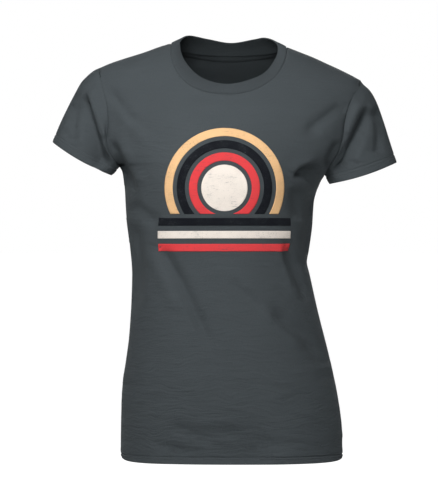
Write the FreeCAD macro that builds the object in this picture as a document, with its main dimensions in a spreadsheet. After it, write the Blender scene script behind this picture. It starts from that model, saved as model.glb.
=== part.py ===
"""Women's fitted crew-neck T-shirt in its worn shape, as on an unseen body form.

Millimetres. +Z is up, the front faces -Y, and +X is the wearer's left. The origin lies midway
between the two neck points of the shoulder seams. The shoulder and side seams lie at y = 0.
"""
import FreeCAD, Part
import os

from FreeCAD import Placement, Rotation, Vector

doc = FreeCAD.newDocument("TShirt")
sheet = doc.addObject("Spreadsheet::Sheet", "sizes")
SIDES = (("right", -1), ("left", 1))    # the wearer's right is -X, the wearer's left is +X
cell_count = 0


def size(alias, value):
    """Keep one driving dimension in the sheet."""
    global cell_count
    cell_count += 1
    sheet.set(f"A{cell_count}", alias)
    sheet.set(f"B{cell_count}", str(value))
    sheet.setAlias(f"B{cell_count}", alias)


def named(expression):
    """Point each sheet name, written as a $word, at the sheet."""
    return expression.replace("$", "sizes.")


SIZES = {
    # Fabric, seams and hems
    "fabric_thickness": 1.0,
    "layer_gap": 0.15,              # air between two layers that lie on each other
    "seam_allowance": 6,            # half the width of a seam's strip inside
    "hem_drop": 624,                # from the neck points down to the bottom edge
    "hem_depth": 12,                # fabric turned up inside the bottom hem
    "sleeve_hem_depth": 15,
    "neckband_thickness": 2.2,      # a rib folded in two
    "neck_tape_width": 10,
    # Neck: the seam round the neckband and the band's free edge, as ovals seen from above
    "neck_seam_side": 87.5,
    "neck_seam_front": 81,
    "neck_seam_back": 65,
    "neck_edge_side": 73.5,
    "neck_edge_front": 73,
    "neck_edge_back": 58.5,
    # On the shoulder's slope, the share of a layer's depth that is taken downwards
    "slope_drop": 0.75,
    # Print: a disc inside three rings, over three straight bands, in four inks
    "print_thickness": 0.3,
    "print_gap": 0.15,              # keeps the curved ink film clear of the curved panel
    "print_middle": -7,             # across the chest, towards the wearer's left
    "print_drop": 218,              # from the neck points down to the disc's centre
    "disc_radius": 34,
    "ring_gap": 6,
    "ring_width": 12,
    "band_length": 196,
    "band_width": 11,
    "band_pitch": 19,
    "band_drop": 44,                # from the disc's centre down to the first band
    # Working room: how far the cutting shapes reach past the garment
    "working_reach": 400,
    "underarm_room": 30,            # how deep the sleeve's lower cutting shape is, beside the body
    "underarm_lap": 3,              # how far it laps over the upper one
}
for alias, value in SIZES.items():
    size(alias, value)

# ---- Body: how far it reaches from the middle at each height ----
# level: height, reach to the wearer's left, to the wearer's right, to the front, to the back
BODY_LEVELS = {
    "tail": (-650, 168.5, 163, 118, 122),
    "hip": (-600, 167, 162, 118, 122),
    "high_hip": (-534, 162, 160, 116, 122),
    "belly": (-444, 141, 150, 107, 109),
    "waist": (-330, 115.5, 145.5, 102, 94),
    "ribs": (-255, 124.5, 156, 112, 93),
    "underarm": (-190, 143, 163.5, 121, 102),
    "chest": (-120, 196, 200, 105, 106),
    "shoulder_tip": (-54, 198, 214, 70, 80),
    "shoulder_slope": (-30, 150, 183, 57, 71),
    "neck_side": (-3, 84, 103, 45, 62),
    "neck_top": (13, 58, 63, 35, 50),
}
COLUMNS = ("height", "left", "right", "front", "back")
for level, reaches in BODY_LEVELS.items():
    for column, value in zip(COLUMNS, reaches):
        size(f"{level}_{column}", value)
SLOPED_LEVELS = ("shoulder_slope", "neck_side", "neck_top")     # inset layers lie lower here

# ---- Armholes: reach and height of the shoulder seam's end, then of the underarm point ----
ARMHOLES = {
    "right": (194, -38, 164, -183),
    "left": (196, -54, 143.5, -196),
}
ARMHOLE_COLUMNS = ("top_reach", "top_height", "under_reach", "under_height")
for side, places in ARMHOLES.items():
    for column, value in zip(ARMHOLE_COLUMNS, places):
        size(f"{side}_armhole_{column}", value)

# ---- Sleeves: sections across the sleeve, from inside the body to past the opening ----
# station: how far its top lies outwards and down from the armhole's top, how far its underarm point
# lies outwards and down from the armhole's, and how much less half its depth is than half its height
SLEEVE_STATIONS = {
    "right": {
        "root": (-36, -2, -14, -23, 20),
        "armhole": (0, 0, 0, 0, 21),
        "upper": (24, 19, 4, 4, 17.6),
        "middle": (44, 54, 7, 8, 10.8),
        "opening": (68, 111, 13, 12, 7.3),
        "past_opening": (71, 118, 17, 19, 7.4),
    },
    "left": {
        "root": (-38, -10, -9.5, -31, 20),
        "armhole": (0, 0, 0, 0, 22.7),
        "upper": (19, 23, 2, 5, 19),
        "middle": (34, 63, 3.5, 9, 10.5),
        "opening": (54, 122, 6.5, 14, 7.8),
        "past_opening": (56.5, 130, 9.5, 22, 8),
    },
}
STATION_COLUMNS = ("top_out", "top_drop", "under_out", "under_drop", "flatness")
for side, stations in SLEEVE_STATIONS.items():
    for station, values in stations.items():
        for column, value in zip(STATION_COLUMNS, values):
            size(f"{side}_{station}_{column}", value)

doc.recompute()


REACH = "$working_reach"
ABOUT_Y = Placement(Vector(), Rotation(Vector(0, 1, 0), 1))     # gives an object its axis to turn on


def bind(thing, bindings):
    """Tie an object's properties to the sheet."""
    for path, expression in bindings.items():
        thing.setExpression(path, named(expression))
    return thing


def oval_arc(label, from_angle, to_angle, bindings):
    """A stretch of an ellipse, or all of it from 0 to 360 degrees."""
    oval = doc.addObject("Part::Ellipse", label)
    oval.Angle1 = from_angle
    oval.Angle2 = to_angle
    oval.Placement = ABOUT_Y
    return bind(oval, bindings)


def compound(label, links):
    group = doc.addObject("Part::Compound", label)
    group.Links = links
    return group


def loft(label, sections):
    solid = doc.addObject("Part::Loft", label)
    solid.Sections = sections
    solid.Solid = True
    solid.Ruled = True
    return solid


def fuse(label, shapes):
    joined = doc.addObject("Part::MultiFuse", label)
    joined.Shapes = shapes
    return joined


def common(label, shapes):
    shared = doc.addObject("Part::MultiCommon", label)
    shared.Shapes = shapes
    return shared


def cut(label, base, tool):
    rest = doc.addObject("Part::Cut", label)
    rest.Base = base
    rest.Tool = tool
    return rest


def box(label, length, width, height, base):
    """An upright box with its lowest corner at base."""
    block = doc.addObject("Part::Box", label)
    bind(block, {"Length": length, "Width": width, "Height": height})
    return bind(block, dict(zip(("Placement.Base.x", "Placement.Base.y", "Placement.Base.z"), base)))


def leaning_box(label, words, across, up, length, height):
    """A box in a sleeve section's own axes: across the section's plane, and up along it."""
    tilt = words["tilt"]
    block = doc.addObject("Part::Box", label)
    block.Placement = ABOUT_Y
    return bind(block, {
        "Length": length,
        "Width": REACH,
        "Height": height,
        "Placement.Base.x": f"{words['x']} + ({across}) * cos({tilt}) + ({up}) * sin({tilt})",
        "Placement.Base.y": f"-{REACH} / 2",
        "Placement.Base.z": f"{words['z']} - ({across}) * sin({tilt}) + ({up}) * cos({tilt})",
        "Placement.Rotation.Angle": tilt,
    })


def body_solid(label, inset):
    """The solid inside the body's surface, inset by a layer depth."""
    sections = []
    for level in BODY_LEVELS:
        drop = f" - $slope_drop * ({inset})" if level in SLOPED_LEVELS else ""
        halves = []
        for reach, from_angle in (("back", 0), ("front", 180)):
            halves.append(oval_arc(f"{label}_{level}_{reach}", from_angle, from_angle + 180, {
                "MajorRadius": f"(${level}_left + ${level}_right) / 2 - ({inset})",
                "MinorRadius": f"${level}_{reach} - ({inset})",
                "Placement.Base.x": f"(${level}_left - ${level}_right) / 2",
                "Placement.Base.z": f"${level}_height{drop}",
            }))
        sections.append(compound(f"{label}_{level}", halves))
    return loft(label, sections)


def station_words(side, sign, station):
    """Middle, half height, half depth and tilt of a sleeve's section."""
    stem = f"${side}_{station}_"
    hole = f"${side}_armhole_"
    top_x = f"({hole}top_reach + {stem}top_out)"
    top_z = f"({hole}top_height - {stem}top_drop)"
    under_x = f"({hole}under_reach + {stem}under_out)"
    under_z = f"({hole}under_height - {stem}under_drop)"
    half_height = f"sqrt(({top_x} - {under_x})^2 + ({top_z} - {under_z})^2) / 2"
    return {
        "x": f"{sign} * ({top_x} + {under_x}) / 2",
        "z": f"({top_z} + {under_z}) / 2",
        "half_height": half_height,
        "half_depth": f"({half_height} - {stem}flatness)",
        "tilt": f"{sign} * atan(({top_x} - {under_x}) / ({top_z} - {under_z}))",
    }


def sleeve_solid(label, side, sign, inset):
    """The solid inside a sleeve's surface, lofted from each station to the next."""
    sections = []
    for station in SLEEVE_STATIONS[side]:
        words = station_words(side, sign, station)
        halves = []
        for half, from_angle, to_angle in (("under", 90, 270), ("upper", 270, 90)):
            halves.append(oval_arc(f"{label}_{station}_{half}", from_angle, to_angle, {
                "MajorRadius": f"{words['half_height']} - ({inset})",
                "MinorRadius": f"{words['half_depth']} - ({inset})",
                "Placement.Base.x": words["x"],
                "Placement.Base.z": words["z"],
                "Placement.Rotation.Angle": f"{words['tilt']} - 90 deg",
            }))
        sections.append(compound(f"{label}_{station}", halves))
    stretches = zip(SLEEVE_STATIONS[side], sections, sections[1:])
    return fuse(label, [loft(f"{label}_past_{station}", [start, end]) for station, start, end in stretches])


def garment_solids(label, inset):
    """The body, and the body with its sleeves as one solid, inset by a layer depth."""
    body = body_solid(f"{label}_body", inset)
    sleeves = [sleeve_solid(f"{label}_{side}_sleeve", side, sign, inset) for side, sign in SIDES]
    return body, fuse(label, [body, *sleeves])


# ---- Layers, from the outside in ----
outer_body, outer = garment_solids("outer", "0")
first_layer = cut("first_layer", outer, garment_solids("inner", "$fabric_thickness")[1])
SECOND_TOP = "$fabric_thickness + $layer_gap"
SECOND_BOTTOM = "2 * $fabric_thickness + $layer_gap"
second_body = cut("second_body", body_solid("second_body_top", SECOND_TOP),
                  body_solid("second_body_bottom", SECOND_BOTTOM))
band_layer = cut("band_layer", outer_body, body_solid("band_inner", "$neckband_thickness"))
ink_layer = cut("ink_layer", body_solid("ink_top", "-$print_gap - $print_thickness"),
                body_solid("ink_bottom", "-$print_gap"))

# ---- Cutting shapes ----
below_hem = box("below_hem", f"2 * {REACH}", f"2 * {REACH}", REACH,
                (f"-{REACH}", f"-{REACH}", f"-$hem_drop - {REACH}"))
front_half = box("front_half", f"2 * {REACH}", REACH, f"4 * {REACH}",
                 (f"-{REACH}", f"-{REACH}", f"-2 * {REACH}"))


def oval_prism(label, side, front, back):
    """An upright prism on an oval, with its own reach to the side, the front and the back."""
    oval = oval_arc(f"{label}_oval", 0, 360, {
        "MajorRadius": side,
        "MinorRadius": f"({front} + {back}) / 2",
        "Placement.Base.y": f"({back} - {front}) / 2",
        "Placement.Base.z": f"-{REACH}",
    })
    prism = doc.addObject("Part::Extrusion", label)
    prism.Base = oval
    prism.DirMode = "Custom"
    prism.Dir = Vector(0, 0, 1)
    prism.Solid = True
    return bind(prism, {"LengthFwd": f"2 * {REACH}"})


neck_seam = oval_prism("neck_seam", "$neck_seam_side", "$neck_seam_front", "$neck_seam_back")
neck_edge = oval_prism("neck_edge", "$neck_edge_side", "$neck_edge_front", "$neck_edge_back")


def sleeve_room(side, sign):
    """The room outside an armhole. Above the underarm point it leans with the armhole."""
    words = station_words(side, sign, "armhole")
    under = f"${side}_armhole_under"
    outward = "0" if sign > 0 else f"-{REACH}"
    upper = leaning_box(f"{side}_armhole_room", words, outward, f"-{words['half_height']}", REACH, REACH)
    lower = box(f"{side}_underarm_room", REACH, REACH, "$underarm_room", (
        f"{sign} * {under}_reach + {outward}",
        f"-{REACH} / 2",
        f"{under}_height + $underarm_lap - $underarm_room",
    ))
    return fuse(f"{side}_sleeve_room", [upper, lower])


def opening_room(side, sign):
    """The room past a sleeve's opening."""
    words = station_words(side, sign, "opening")
    outward = "0" if sign > 0 else f"-{REACH}"
    return leaning_box(f"{side}_opening_room", words, outward, f"-{REACH} / 2", REACH, REACH)


def sleeve_hem_room(side, sign):
    """The slice of a sleeve that its turned-up hem fills."""
    words = station_words(side, sign, "opening")
    inward = "-$sleeve_hem_depth" if sign > 0 else "0"
    return leaning_box(f"{side}_sleeve_hem_room", words, inward, f"-{REACH} / 2", "$sleeve_hem_depth", REACH)


def armhole_strip(side, sign):
    """The slice of a sleeve beside the armhole that its seam allowance fills."""
    words = station_words(side, sign, "armhole")
    start = "0" if sign > 0 else "-$seam_allowance"
    return leaning_box(f"{side}_armhole_strip", words, start, f"-{REACH} / 2", "$seam_allowance", REACH)


rooms = {side: sleeve_room(side, sign) for side, sign in SIDES}

# ---- Sub-parts ----
nodes = []
body_layer = cut("body_layer", first_layer, fuse("body_openings", [*rooms.values(), neck_seam, below_hem]))
nodes.append(common("front_panel", [body_layer, front_half]))
nodes.append(cut("back_panel", body_layer, front_half))
nodes.append(common("neckband", [band_layer, cut("band_ring", neck_seam, neck_edge)]))

tape_edge = oval_prism("tape_edge", "$neck_seam_side + $neck_tape_width",
                       "$neck_seam_front + $neck_tape_width", "$neck_seam_back + $neck_tape_width")
tape_ring = cut("tape_ring", tape_edge, fuse("tape_inside", [neck_seam, front_half]))
nodes.append(common("neck_tape", [second_body, tape_ring]))

hem_room = box("hem_room", f"2 * {REACH}", f"2 * {REACH}", "$hem_depth",
               (f"-{REACH}", f"-{REACH}", "-$hem_drop"))
nodes.append(common("bottom_hem", [second_body, hem_room]))

for side, sign in SIDES:
    room = rooms[side]
    start = "0" if sign > 0 else f"-{REACH}"
    sleeve_layer = common(f"{side}_sleeve_layer", [first_layer, room])
    nodes.append(cut(f"{side}_sleeve", sleeve_layer, opening_room(side, sign)))

    second_top = sleeve_solid(f"second_{side}_sleeve_top", side, sign, SECOND_TOP)
    second_bottom = sleeve_solid(f"second_{side}_sleeve_bottom", side, sign, SECOND_BOTTOM)
    second_sleeve = cut(f"second_{side}_sleeve", second_top, second_bottom)
    nodes.append(common(f"{side}_sleeve_hem", [second_sleeve, sleeve_hem_room(side, sign)]))
    armhole_ring = common(f"{side}_armhole_ring", [second_sleeve, armhole_strip(side, sign)])
    nodes.append(cut(f"{side}_armhole_seam", armhole_ring, sleeve_hem_room(side, sign)))

    hem_top = "($hem_depth - $hem_drop)"
    side_top = f"(${side}_armhole_under_height - $seam_allowance)"
    side_strip = box(f"{side}_side_strip", REACH, "2 * $seam_allowance", f"{side_top} - {hem_top}",
                     (start, "-$seam_allowance", hem_top))
    nodes.append(common(f"{side}_side_seam", [second_body, side_strip]))

    shoulder_strip = box(f"{side}_shoulder_strip", REACH, "2 * $seam_allowance", REACH,
                         (start, "-$seam_allowance", "$chest_height"))
    shoulder_layer = common(f"{side}_shoulder_layer", [second_body, shoulder_strip])
    shoulder_ends = fuse(f"{side}_shoulder_ends", [tape_edge, room])
    nodes.append(cut(f"{side}_shoulder_seam", shoulder_layer, shoulder_ends))


# ---- Print ----
def roller(label, radius):
    """A round bar along the Y axis through the print, centred on the disc."""
    bar = doc.addObject("Part::Cylinder", label)
    bar.Placement = Placement(Vector(), Rotation(Vector(1, 0, 0), 90))
    return bind(bar, {
        "Radius": radius,
        "Height": REACH,
        "Placement.Base.x": "$print_middle",
        "Placement.Base.z": "-$print_drop",
    })


def ring(label, count):
    """The ring that follows the disc by count steps."""
    start = f"$disc_radius + {count} * $ring_gap + {count - 1} * $ring_width"
    rim = roller(f"{label}_rim", f"{start} + $ring_width")
    return common(label, [cut(f"{label}_whole", rim, roller(f"{label}_hole", start)), horizon])


def band(label, count):
    """The straight band that lies count pitches below the first."""
    return box(label, "$band_length", REACH, "$band_width", (
        "$print_middle - $band_length / 2",
        f"-{REACH}",
        f"-$print_drop - $band_drop - {count} * $band_pitch - $band_width",
    ))


horizon = box("horizon", f"2 * {REACH}", f"2 * {REACH}", REACH,
              (f"-{REACH}", f"-{REACH}", "$ring_gap - $band_drop - $print_drop"))
disc = common("disc", [roller("disc_bar", "$disc_radius"), horizon])
INKS = {
    "print_cream": [disc, band("cream_band", 1)],
    "print_coral": [ring("coral_ring", 1), band("coral_band", 2)],
    "print_navy": [ring("navy_ring", 2), band("navy_band", 0)],
    "print_sand": [ring("sand_ring", 3)],
}
for label, shapes in INKS.items():
    nodes.append(common(label, [ink_layer, compound(f"{label}_shapes", shapes)]))

doc.recompute()

# ---- Check and write ----
for thing in doc.Objects:
    if "Invalid" in thing.State or "Error" in thing.State:
        raise RuntimeError(f"{thing.Label} failed: {thing.getStatusString()}")
os.makedirs("parts", exist_ok=True)
for node in nodes:
    shape = node.Shape
    if shape.isNull() or not shape.isValid() or shape.Volume <= 0:
        raise RuntimeError(f"{node.Label} has no valid solid")
    shape.exportStep(f"parts/{node.Label}.step")
    corners = shape.BoundBox
    print(f"{node.Label}: {len(shape.Solids)} solids, {shape.Volume:.0f} mm3,"
          f" x {corners.XMin:.0f}..{corners.XMax:.0f}, y {corners.YMin:.0f}..{corners.YMax:.0f},"
          f" z {corners.ZMin:.0f}..{corners.ZMax:.0f}")
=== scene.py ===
"""A women's fitted crew-neck T-shirt, dressed over its construction model.

Lengths in this script are millimetres until a mesh is made, which is in metres. +Z is up, the front
faces -Y, and +X is the wearer's left. Cloth surfaces come from a few profiles of the worn shirt: how
far it reaches to each side, and how deep it is in front and behind, at each height.
"""
import math

import bmesh
import bpy
import numpy as np
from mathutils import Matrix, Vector


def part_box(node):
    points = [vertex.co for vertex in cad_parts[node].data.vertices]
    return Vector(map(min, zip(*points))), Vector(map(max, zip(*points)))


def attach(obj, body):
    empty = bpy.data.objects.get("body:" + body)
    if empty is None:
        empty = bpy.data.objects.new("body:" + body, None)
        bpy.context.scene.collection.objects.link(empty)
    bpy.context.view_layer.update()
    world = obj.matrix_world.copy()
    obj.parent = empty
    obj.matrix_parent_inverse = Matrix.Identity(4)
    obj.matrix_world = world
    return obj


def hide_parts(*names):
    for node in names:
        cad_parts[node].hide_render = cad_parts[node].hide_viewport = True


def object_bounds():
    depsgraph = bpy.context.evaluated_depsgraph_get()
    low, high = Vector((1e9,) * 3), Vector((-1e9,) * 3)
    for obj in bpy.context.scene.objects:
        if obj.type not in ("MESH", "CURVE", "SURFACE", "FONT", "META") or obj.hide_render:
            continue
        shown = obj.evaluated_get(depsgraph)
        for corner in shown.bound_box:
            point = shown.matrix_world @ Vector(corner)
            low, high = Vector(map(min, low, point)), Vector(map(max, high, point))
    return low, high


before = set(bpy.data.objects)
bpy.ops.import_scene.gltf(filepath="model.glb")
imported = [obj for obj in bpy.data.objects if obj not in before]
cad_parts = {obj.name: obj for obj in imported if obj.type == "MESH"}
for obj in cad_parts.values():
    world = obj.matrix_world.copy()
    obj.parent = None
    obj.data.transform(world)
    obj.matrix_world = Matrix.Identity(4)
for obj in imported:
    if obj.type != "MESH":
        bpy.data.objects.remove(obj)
cad_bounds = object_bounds()

MM = 0.001
JERSEY = 1.0  # thickness of one layer of the body cloth
LAYER_GAP = 0.15  # between two layers that are sewn together
SEAM_ALLOWANCE = 6
ALLOWANCE_THICKNESS = 1.4
NECK_TAPE = 10
NECK_TAPE_THICKNESS = 0.7
PUFF = 0.6  # how far the cloth stands proud of its own seams
PUFF_RUN = 1.3  # stretch beside a seam in which it rises to that
FOLD_RUN = 14  # stretch beside a seam in which the folds fade out
FOLD_STRENGTH = 1.6  # scales the depth of every listed fold
SIDE_TURN = 4.5  # power of the curve that rounds the body to its sides; higher is tighter
UNDERARM_TURN = 2.5  # what is added to that power at the underarms
UNDERARM_TURN_RUN = 35  # height over which that fades

hem_low, hem_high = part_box("bottom_hem")
HEM_EDGE = hem_low[2] / MM
HEM_DEPTH = (hem_high[2] - hem_low[2]) / MM
HEM_TURN = JERSEY + LAYER_GAP / 2  # radius of the turn at a hem's edge
HEM_PUFF = 0.7  # how far a hem's double layer stands out below its needle rows
STITCH_ROWS = (0.82, 0.54)  # heights of the two needle rows, as shares of a hem's depth
NEEDLE_PULLS = (1.4, 0.7)  # how far each needle row draws the cloth in
NEEDLE_RUN = 1.2  # stretch beside a needle row that it draws in
SIDE_RISE = 12  # how much higher the bottom hem is at the side seams
SIDE_RISE_RUN = 40  # height over which the rows above it lose that rise
SIDE_RISE_TURN = 9  # power of the curve along which a row rises to its ends
ARMHOLE_OPENING = 0.33  # how much less than a quarter turn a row makes halfway up the armholes
HEM_TO_UNDERARM = 424  # from the bottom edge up to the row that ends at the underarms
SLEEVE_HEM_DEPTH = 15
SLEEVE_HEM_RELIEF = 0.6  # of the bottom hem's relief
SLEEVE_HEM_ZONE = 16  # stretch beside a sleeve's opening where its rows run level with it
HEM_SHARE = 0.8  # of a sleeve's rows, before that stretch
STRIP_START = 0.1  # from a seam to the strip inside it
NECK_STITCH_DROP = 1.8  # from the neck seam down to the needle row below it
THREAD_RISE = 0.1  # of a thread's middle line above the cloth
THREAD_WIDTH = 0.62

# points along a row of each piece's grid
PANEL_COLUMNS = 158
HALF_HEM_COLUMNS = 180
SLEEVE_COLUMNS = 152
ARMHOLE_COLUMNS = 132
SLEEVE_NEEDLE_COLUMNS = 400
EDGE_STEP = 0.006  # of half a row, to the extra point beside each side seam


# ---- Small tools

def through(pairs):
    """A smooth function through a short table of (place, value) pairs that doesn't overshoot them."""
    place, value = np.array(sorted(pairs), float).T
    step = np.diff(place)
    slope = np.diff(value) / step
    tangent = np.concatenate([slope[:1], np.zeros(len(place) - 2), slope[-1:]])
    for i in range(1, len(place) - 1):
        if slope[i - 1] * slope[i] > 0:
            before = 2 * step[i] + step[i - 1]
            after = step[i] + 2 * step[i - 1]
            tangent[i] = (before + after) / (before / slope[i - 1] + after / slope[i])

    def at(where):
        where = np.clip(where, place[0], place[-1])
        i = np.clip(np.searchsorted(place, where) - 1, 0, len(place) - 2)
        t = (where - place[i]) / step[i]
        start = value[i] * (1 + 2 * t) * (1 - t) ** 2 + tangent[i] * step[i] * t * (1 - t) ** 2
        end = value[i + 1] * t ** 2 * (3 - 2 * t) + tangent[i + 1] * step[i] * t ** 2 * (t - 1)
        return start + end

    return at


def ease(t):
    """0 to 1 with level ends."""
    t = np.clip(t, 0, 1)
    return t * t * (3 - 2 * t)


def spline(points, count, closed=False):
    """A smooth curve through the given points, as count points evenly spaced in its own measure."""
    points = np.array(points, float)
    if closed:
        points = np.vstack([points[-1:], points, points[:2]])
    else:
        points = np.vstack([2 * points[0] - points[1], points, 2 * points[-1] - points[-2]])
    spans = len(points) - 3
    measure = np.linspace(0, spans, count, endpoint=not closed)
    i = np.minimum(measure.astype(int), spans - 1)
    t = (measure - i)[:, None]
    a, b, c, d = (points[i + ahead] for ahead in range(4))
    cubic = 3 * b - a - 3 * c + d
    return 0.5 * (2 * b + (c - a) * t + (2 * a - 5 * b + 4 * c - d) * t ** 2 + cubic * t ** 3)


def unit(vectors):
    """The same directions with a length of 1."""
    return vectors / np.maximum(np.linalg.norm(vectors, axis=-1, keepdims=True), 1e-9)


def grid_normals(points, closed=False):
    """Normals of a grid of points, from the differences along its rows and columns."""
    if closed:
        across = np.roll(points, -1, axis=1) - np.roll(points, 1, axis=1)
    else:
        across = np.gradient(points, axis=1)
    return unit(np.cross(across, np.gradient(points, axis=0)))


def arc_lengths(points, axis):
    """Running length along one axis of a grid, starting at 0."""
    steps = np.linalg.norm(np.diff(points, axis=axis), axis=-1)
    start = np.zeros_like(np.take(steps, [0], axis=axis))
    return np.concatenate([start, np.cumsum(steps, axis=axis)], axis=axis)


def along_line(measure, run, line):
    """Each column of a line's table, at a measure of its running length."""
    return [np.interp(measure, run, column) for column in line.T]


def grid_mesh(name, points, around=False, tube=False, flip=False):
    """A mesh object from a grid of points in millimetres, with a UV map in metres of cloth.

    Around joins the last column to the first, and tube joins the last row to the first.
    """
    rows, columns = points.shape[:2]
    index = np.arange(rows * columns).reshape(rows, columns)
    spread = points
    if around:
        index = np.concatenate([index, index[:, :1]], axis=1)
        spread = np.concatenate([spread, spread[:, :1]], axis=1)
    if tube:
        index = np.concatenate([index, index[:1]])
        spread = np.concatenate([spread, spread[:1]])
    across = arc_lengths(spread, 1)
    uv = np.stack([across - across.mean(axis=1, keepdims=True), arc_lengths(spread, 0)], axis=-1) * MM
    order = [(0, 0), (0, 1), (1, 1), (1, 0)]
    if flip:
        order.reverse()
    r, c = np.meshgrid(np.arange(index.shape[0] - 1), np.arange(index.shape[1] - 1), indexing="ij")
    quads = np.stack([index[r + up, c + over] for up, over in order], axis=-1).reshape(-1, 4)
    corners = np.stack([uv[r + up, c + over] for up, over in order], axis=-2)
    mesh = bpy.data.meshes.new(name)
    mesh.from_pydata((points.reshape(-1, 3) * MM).tolist(), [], quads.tolist())
    layer = mesh.uv_layers.new(name="cloth")
    layer.data.foreach_set("uv", corners.reshape(-1).astype(np.float32))
    mesh.shade_smooth()
    return placed(name, mesh)


def placed(name, data):
    """A new object in the scene."""
    thing = bpy.data.objects.new(name, data)
    bpy.context.scene.collection.objects.link(thing)
    return thing


def thicken(piece, thickness, shaded_inner_finish=0):
    """Give a surface its thickness, inwards from its outer face. The inner face may have its own finish,
    here the cloth's darker copy, whose colour is painted shade.
    """
    solid = piece.modifiers.new("thickness", "SOLIDIFY")
    solid.thickness = thickness * MM
    solid.offset = -1
    solid.material_offset = shaded_inner_finish
    return piece


def value_noise(x, z, wave_x, wave_z, seed):
    """Smooth random waves between -1 and 1, with their own length along each axis."""
    cells = 64
    draw = np.random.default_rng(seed).uniform(-1, 1, (cells, cells))
    u, v = x / wave_x, z / wave_z
    i, j = np.floor(u).astype(int), np.floor(v).astype(int)
    s, t = ease(u - i), ease(v - j)
    low, high = (draw[i % cells, row % cells] * (1 - s) + draw[(i + 1) % cells, row % cells] * s
                 for row in (j, j + 1))
    return low * (1 - t) + high * t


# ---- The worn shape

class Side:
    """One side of the shirt: its seams as reaches from the middle plane at each height."""

    def __init__(self, name, sign, neck, tip, underarm, seam, armhole, ridge, girth):
        self.name = name
        self.sign = sign
        # heights of the shoulder seam's two ends and of the side seam's upper end
        self.neck = neck
        self.tip = tip
        self.underarm = underarm
        # reach of the side seam, the armhole and the shoulder seam
        self.seam = through(seam)
        self.armhole = through(armhole)
        self.ridge = through(ridge)
        self.girth = through(girth)

    def reach(self, z):
        """How far the panels reach at height z, to the side seam, the armhole or the shoulder seam."""
        high = np.where(z > self.tip, self.ridge(z), self.armhole(z))
        return np.where(z < self.underarm, self.seam(z), high)

    def roundness(self, z):
        """Half width of the oval that the middle of a panel follows."""
        return np.where(z > self.tip, self.ridge(z) + 0.5, self.girth(z))

    def at_armhole(self, z):
        """Whether a height is between the underarm and the shoulder tip."""
        return (z > self.underarm) & (z < self.tip)

    def armhole_span(self):
        """Middle height and half height of the armhole."""
        return (self.tip + self.underarm) / 2, (self.tip - self.underarm) / 2

    def armhole_share(self, z):
        """0 at both ends of the armhole and 1 halfway up it."""
        middle, half = self.armhole_span()
        return np.sqrt(np.clip(1 - ((z - middle) / half) ** 2, 0, 1))


RIGHT = Side(
    "right", -1, neck=0.5, tip=-36.5, underarm=-183,
    seam=[(-640, 162), (-606, 162), (-543, 161), (-507, 159), (-471, 153.5), (-435, 149), (-385, 146),
          (-345, 145), (-300, 148.5), (-255, 153.8), (-219, 155.8), (-200, 157.6), (-190, 159.5),
          (-183, 163.8)],
    armhole=[(-183, 163.8), (-175, 172.7), (-163, 179.2), (-149, 182), (-134, 181), (-117, 180),
             (-100, 180.6), (-83, 184.2), (-61, 189.2), (-48.5, 192.8), (-36.5, 194.3)],
    ridge=[(-36.5, 194.3), (-30.6, 181), (-21.8, 156), (-12.8, 127), (-3.7, 101.5), (0.5, 87.5)],
    girth=[(-640, 188), (-543, 184), (-471, 172), (-385, 154), (-345, 150), (-255, 163), (-183, 186),
           (-130, 207), (-90, 214), (-60, 211), (-36.5, 194.8)],
)
LEFT = Side(
    "left", 1, neck=-5, tip=-54.7, underarm=-195.5,
    seam=[(-640, 169.5), (-606, 169.5), (-570, 168), (-525, 162), (-471, 150.5), (-399, 132.5),
          (-345, 120.5), (-327, 116.5), (-309, 119.5), (-273, 124.5), (-237, 127), (-219, 131.5),
          (-205, 137), (-195.5, 143.4)],
    armhole=[(-195.5, 143.4), (-191, 145.5), (-175.5, 155), (-161, 162.9), (-148.3, 167.2), (-137, 169.4),
             (-122.6, 170.8), (-104, 175), (-85.5, 182), (-68, 190), (-54.7, 196.5)],
    ridge=[(-54.7, 196.5), (-48, 184.5), (-39, 166.5), (-30, 147), (-21, 127.5), (-12, 105), (-5, 87)],
    girth=[(-640, 191), (-570, 189), (-471, 173), (-399, 160), (-327, 151), (-255, 162), (-196, 176),
           (-140, 198), (-90, 211), (-70, 207), (-54.7, 197)],
)
# where the middle of the shirt lies in front view, at each height
middle_line = through([(-640, 3), (-540, 1), (-435, -4), (-345, -14.5), (-255, -15), (-183, -8), (-110, 0),
                       (20, 0)])


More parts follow.
